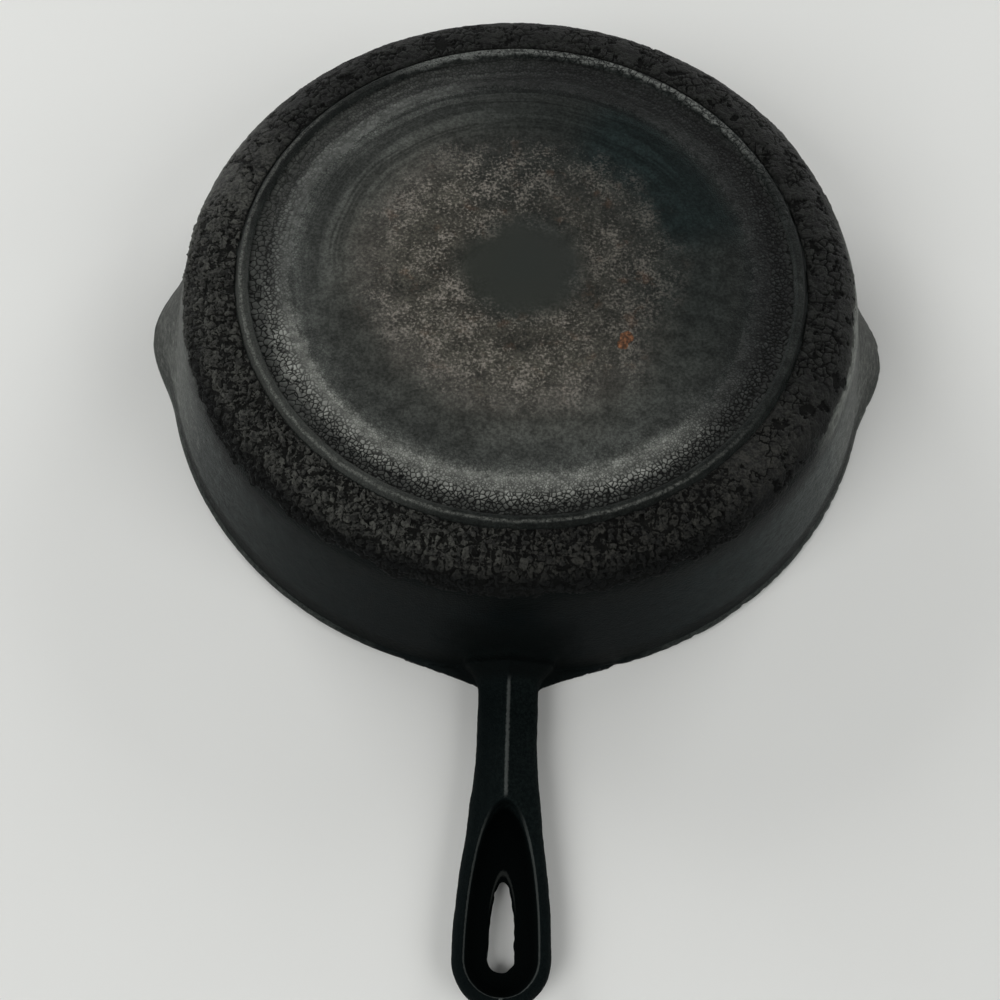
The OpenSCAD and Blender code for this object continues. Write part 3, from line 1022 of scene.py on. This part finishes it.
def crust_paint(g, bed, deep, tone, grain):
    """Black in the holes and cracks, partly painted shade; flakes are paler near the ring, painted pale at
    the sides as highlights, and painted black lower down in front as shade.
    """
    x, y, z = g.parts(bed)
    radius = off_axis(x, y)
    fall = BASE_Z - z
    # Painted shade: the crust darkens lower down in front
    lower = g.fade(fall, 0.5, 5.5) * side(g, x, y, radius, -3, 60, 30)
    flank = side(g, x, y, radius, 95, 28, 22) * 0.6 + side(g, x, y, radius, -95, 26, 22) * 0.7
    share = g.fade(tone * 0.35 + grain * 0.85, 0.42, 0.85)
    front = side(g, x, y, radius, -30, 75, 25)
    pale_near_ring = side(g, x, y, radius, -60, 34, 36) * g.fade(fall, 8.0, 1.0)
    face = g.mixed(linear(9, 10, 9), linear(33, 35, 32), share)
    face = g.mixed(face, g.mixed(linear(22, 23, 22), linear(52, 52, 48), share), front)
    face = g.mixed(face, g.mixed(linear(36, 37, 35), linear(84, 85, 80), share), pale_near_ring * 0.65)
    # Painted highlights: flakes on both flanks are made pale
    painted_highlight = flank.least(1.0) * (share * 0.7 + 0.3) * g.fade(fall, 3.0, 10.0)
    face = g.mixed(face, linear(116, 118, 112), painted_highlight)
    face = g.mixed(face, linear(1, 3, 3), lower * 0.93)
    # Black in holes and cracks: dark cracks, deepened as painted shade
    return g.mixed(face, linear(3, 4, 3), deep * 0.85)


def craze_paint(g, bed, deep, tone, grain):
    """The colour of the base round about, with black cracks."""
    ground = base_colour(g, bed)
    ground = g.mixed(ground, ground * 1.5, g.fade(tone * 0.5 + grain * 0.5, 0.3, 0.8))
    return g.mixed(ground, linear(4, 5, 4), deep)


def carbon_finish(name, pattern, paint, rough, gloss):
    """Burnt carbon, coloured on the same pattern that shapes it."""
    finish, g = new_finish(name)
    bed = g.add("ShaderNodeAttribute", {"attribute_name": "bed"}, None, out=1)
    _, deep, tone = pattern(g, bed)
    grain = g.noise(bed, 0.8, 4.0, 0.65, 41.0)
    spread = rough + (grain - 0.5) * 0.2 + deep * 0.25
    close_finish(g, paint(g, bed, deep, tone, grain), spread, bumped(g, grain, 0.4), gloss)
    return finish


# ---------------------------------------------------------------- stage

def make_floor():
    """A pale table top. Far from the pan it keeps its colour, so that it meets the sky evenly."""
    finish, g = new_finish("floor")
    spot = g.add("ShaderNodeTexCoord", None, None, out=3) / MM
    cloud = g.noise(spot, 160, 3.0)
    colour = g.mixed(linear(225, 226, 223), linear(232, 233, 230), cloud)
    table = g.add("ShaderNodeBsdfPrincipled", None, {
        "Base Color": colour, "Roughness": 0.75, "Specular IOR Level": 0.2})
    pale = g.add("ShaderNodeEmission", None, {"Color": linear(230, 231, 229), "Strength": 1.0})
    x, y, _ = g.parts(spot)
    seen = g.add("ShaderNodeLightPath")
    far = g.fade(off_axis(x, y), 500, 1400) * seen
    blend = g.add("ShaderNodeMixShader", None, {0: far, 1: table, 2: pale})
    g.add("ShaderNodeOutputMaterial", None, {0: blend})
    half = 9.0
    mesh = bpy.data.meshes.new("floor")
    corners = [(-half, -half, 0), (half, -half, 0), (half, half, 0), (-half, half, 0)]
    mesh.from_pydata(corners, [], [(0, 1, 2, 3)])
    mesh.materials.append(finish)
    floor = bpy.data.objects.new("floor", mesh)
    bpy.context.scene.collection.objects.link(floor)


def lamp(name, place, size, share):
    """A soft square lamp that points at the pan, and gives a share of a floor's even light."""
    data = bpy.data.lights.new(name, "AREA")
    data.shape = "SQUARE"
    data.size = size
    away = Vector(place)
    slant = away.z / away.length
    data.energy = share * math.pi ** 2 * away.length_squared / slant
    light = bpy.data.objects.new(name, data)
    light.location = place
    light.rotation_euler = (-away).to_track_quat("-Z", "Y").to_euler()
    bpy.context.scene.collection.objects.link(light)


def make_lights():
    """A soft lamp at each corner, strongest in front on the left, and a pale sky low down all round."""
    lamp("front_left", (-1.5, -1.4, 1.5), 1.5, 0.32)
    lamp("front_right", (1.6, -1.0, 1.3), 1.3, 0.17)
    lamp("far_left", (-1.6, 1.6, 0.8), 1.2, 0.2)
    lamp("far_right", (1.4, 1.7, 0.8), 1.2, 0.15)
    world = bpy.data.worlds.new("studio")
    world.use_nodes = True
    world.node_tree.nodes.clear()
    g = Graph(world.node_tree)
    _, _, rise = g.parts(g.add("ShaderNodeTexCoord", None, None, out=0))
    strength = g.fade(rise, 0.05, 0.5, 0.9, 0.08)
    sky = g.add("ShaderNodeBackground", None, {"Color": (1, 1, 1), "Strength": strength})
    g.add("ShaderNodeOutputWorld", None, {0: sky})
    bpy.context.scene.world = world


def make_camera():
    """Looks down the handle at the base, from in front."""
    away = 486.65
    lift = math.radians(65.37)
    turn = math.radians(-0.6)
    roll = math.radians(2.48)
    aim = Vector((-4.95, -65.84, 0)) * MM
    back = Vector((math.sin(turn) * math.cos(lift), -math.cos(turn) * math.cos(lift), math.sin(lift)))
    right = Vector((0, 0, 1)).cross(back).normalized()
    above = back.cross(right)
    side_way = right * math.cos(roll) + above * math.sin(roll)
    up_way = above * math.cos(roll) - right * math.sin(roll)
    data = bpy.data.cameras.new("camera")
    data.lens = 46.8
    data.sensor_width = 36.0
    data.clip_start = 0.01
    camera = bpy.data.objects.new("camera", data)
    bpy.context.scene.collection.objects.link(camera)
    turned = Matrix((side_way, up_way, back)).transposed().to_4x4()
    camera.matrix_world = Matrix.Translation(aim + back * away * MM) @ turned
    bpy.context.scene.camera = camera


# ---------------------------------------------------------------- the whole

def settle(piece, *nodes):
    """Fixes a finished piece to the pan."""
    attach(piece, "root")
    if nodes:
        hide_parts(*nodes)


make_camera()
make_floor()
make_lights()
bpy.context.scene.view_settings.view_transform = "Standard"

iron = cast_iron_finish()
crust = carbon_finish("crust", crust_pattern, crust_paint, 0.6, 0.1)
craze = carbon_finish("craze", craze_pattern, craze_paint, 0.5, 0.12)

segments = 540
step = 0.6
fewer = 1

settle(make_casting(segments, step, iron), "skillet")

crust_tree = carbon_tree("crust", crust_pattern, True)
for side_name, start in (("right", 0), ("left", 180)):
    settle(make_carbon(
        "carbon_crust_" + side_name, crust_tree, start - CRUST_OVERLAP, 180 + 2 * CRUST_OVERLAP,
        1000 // fewer, 84 // fewer, CRUST_REACH, CRUST_DEPTH, crust))
craze_tree = carbon_tree("craze", craze_pattern, False)
settle(make_carbon(
    "crazed_carbon", craze_tree, 0, 360, 1600 // fewer, 58 // fewer, CRAZE_REACH, CRAZE_DEPTH, craze))

settle(make_rust(rust_finish()))
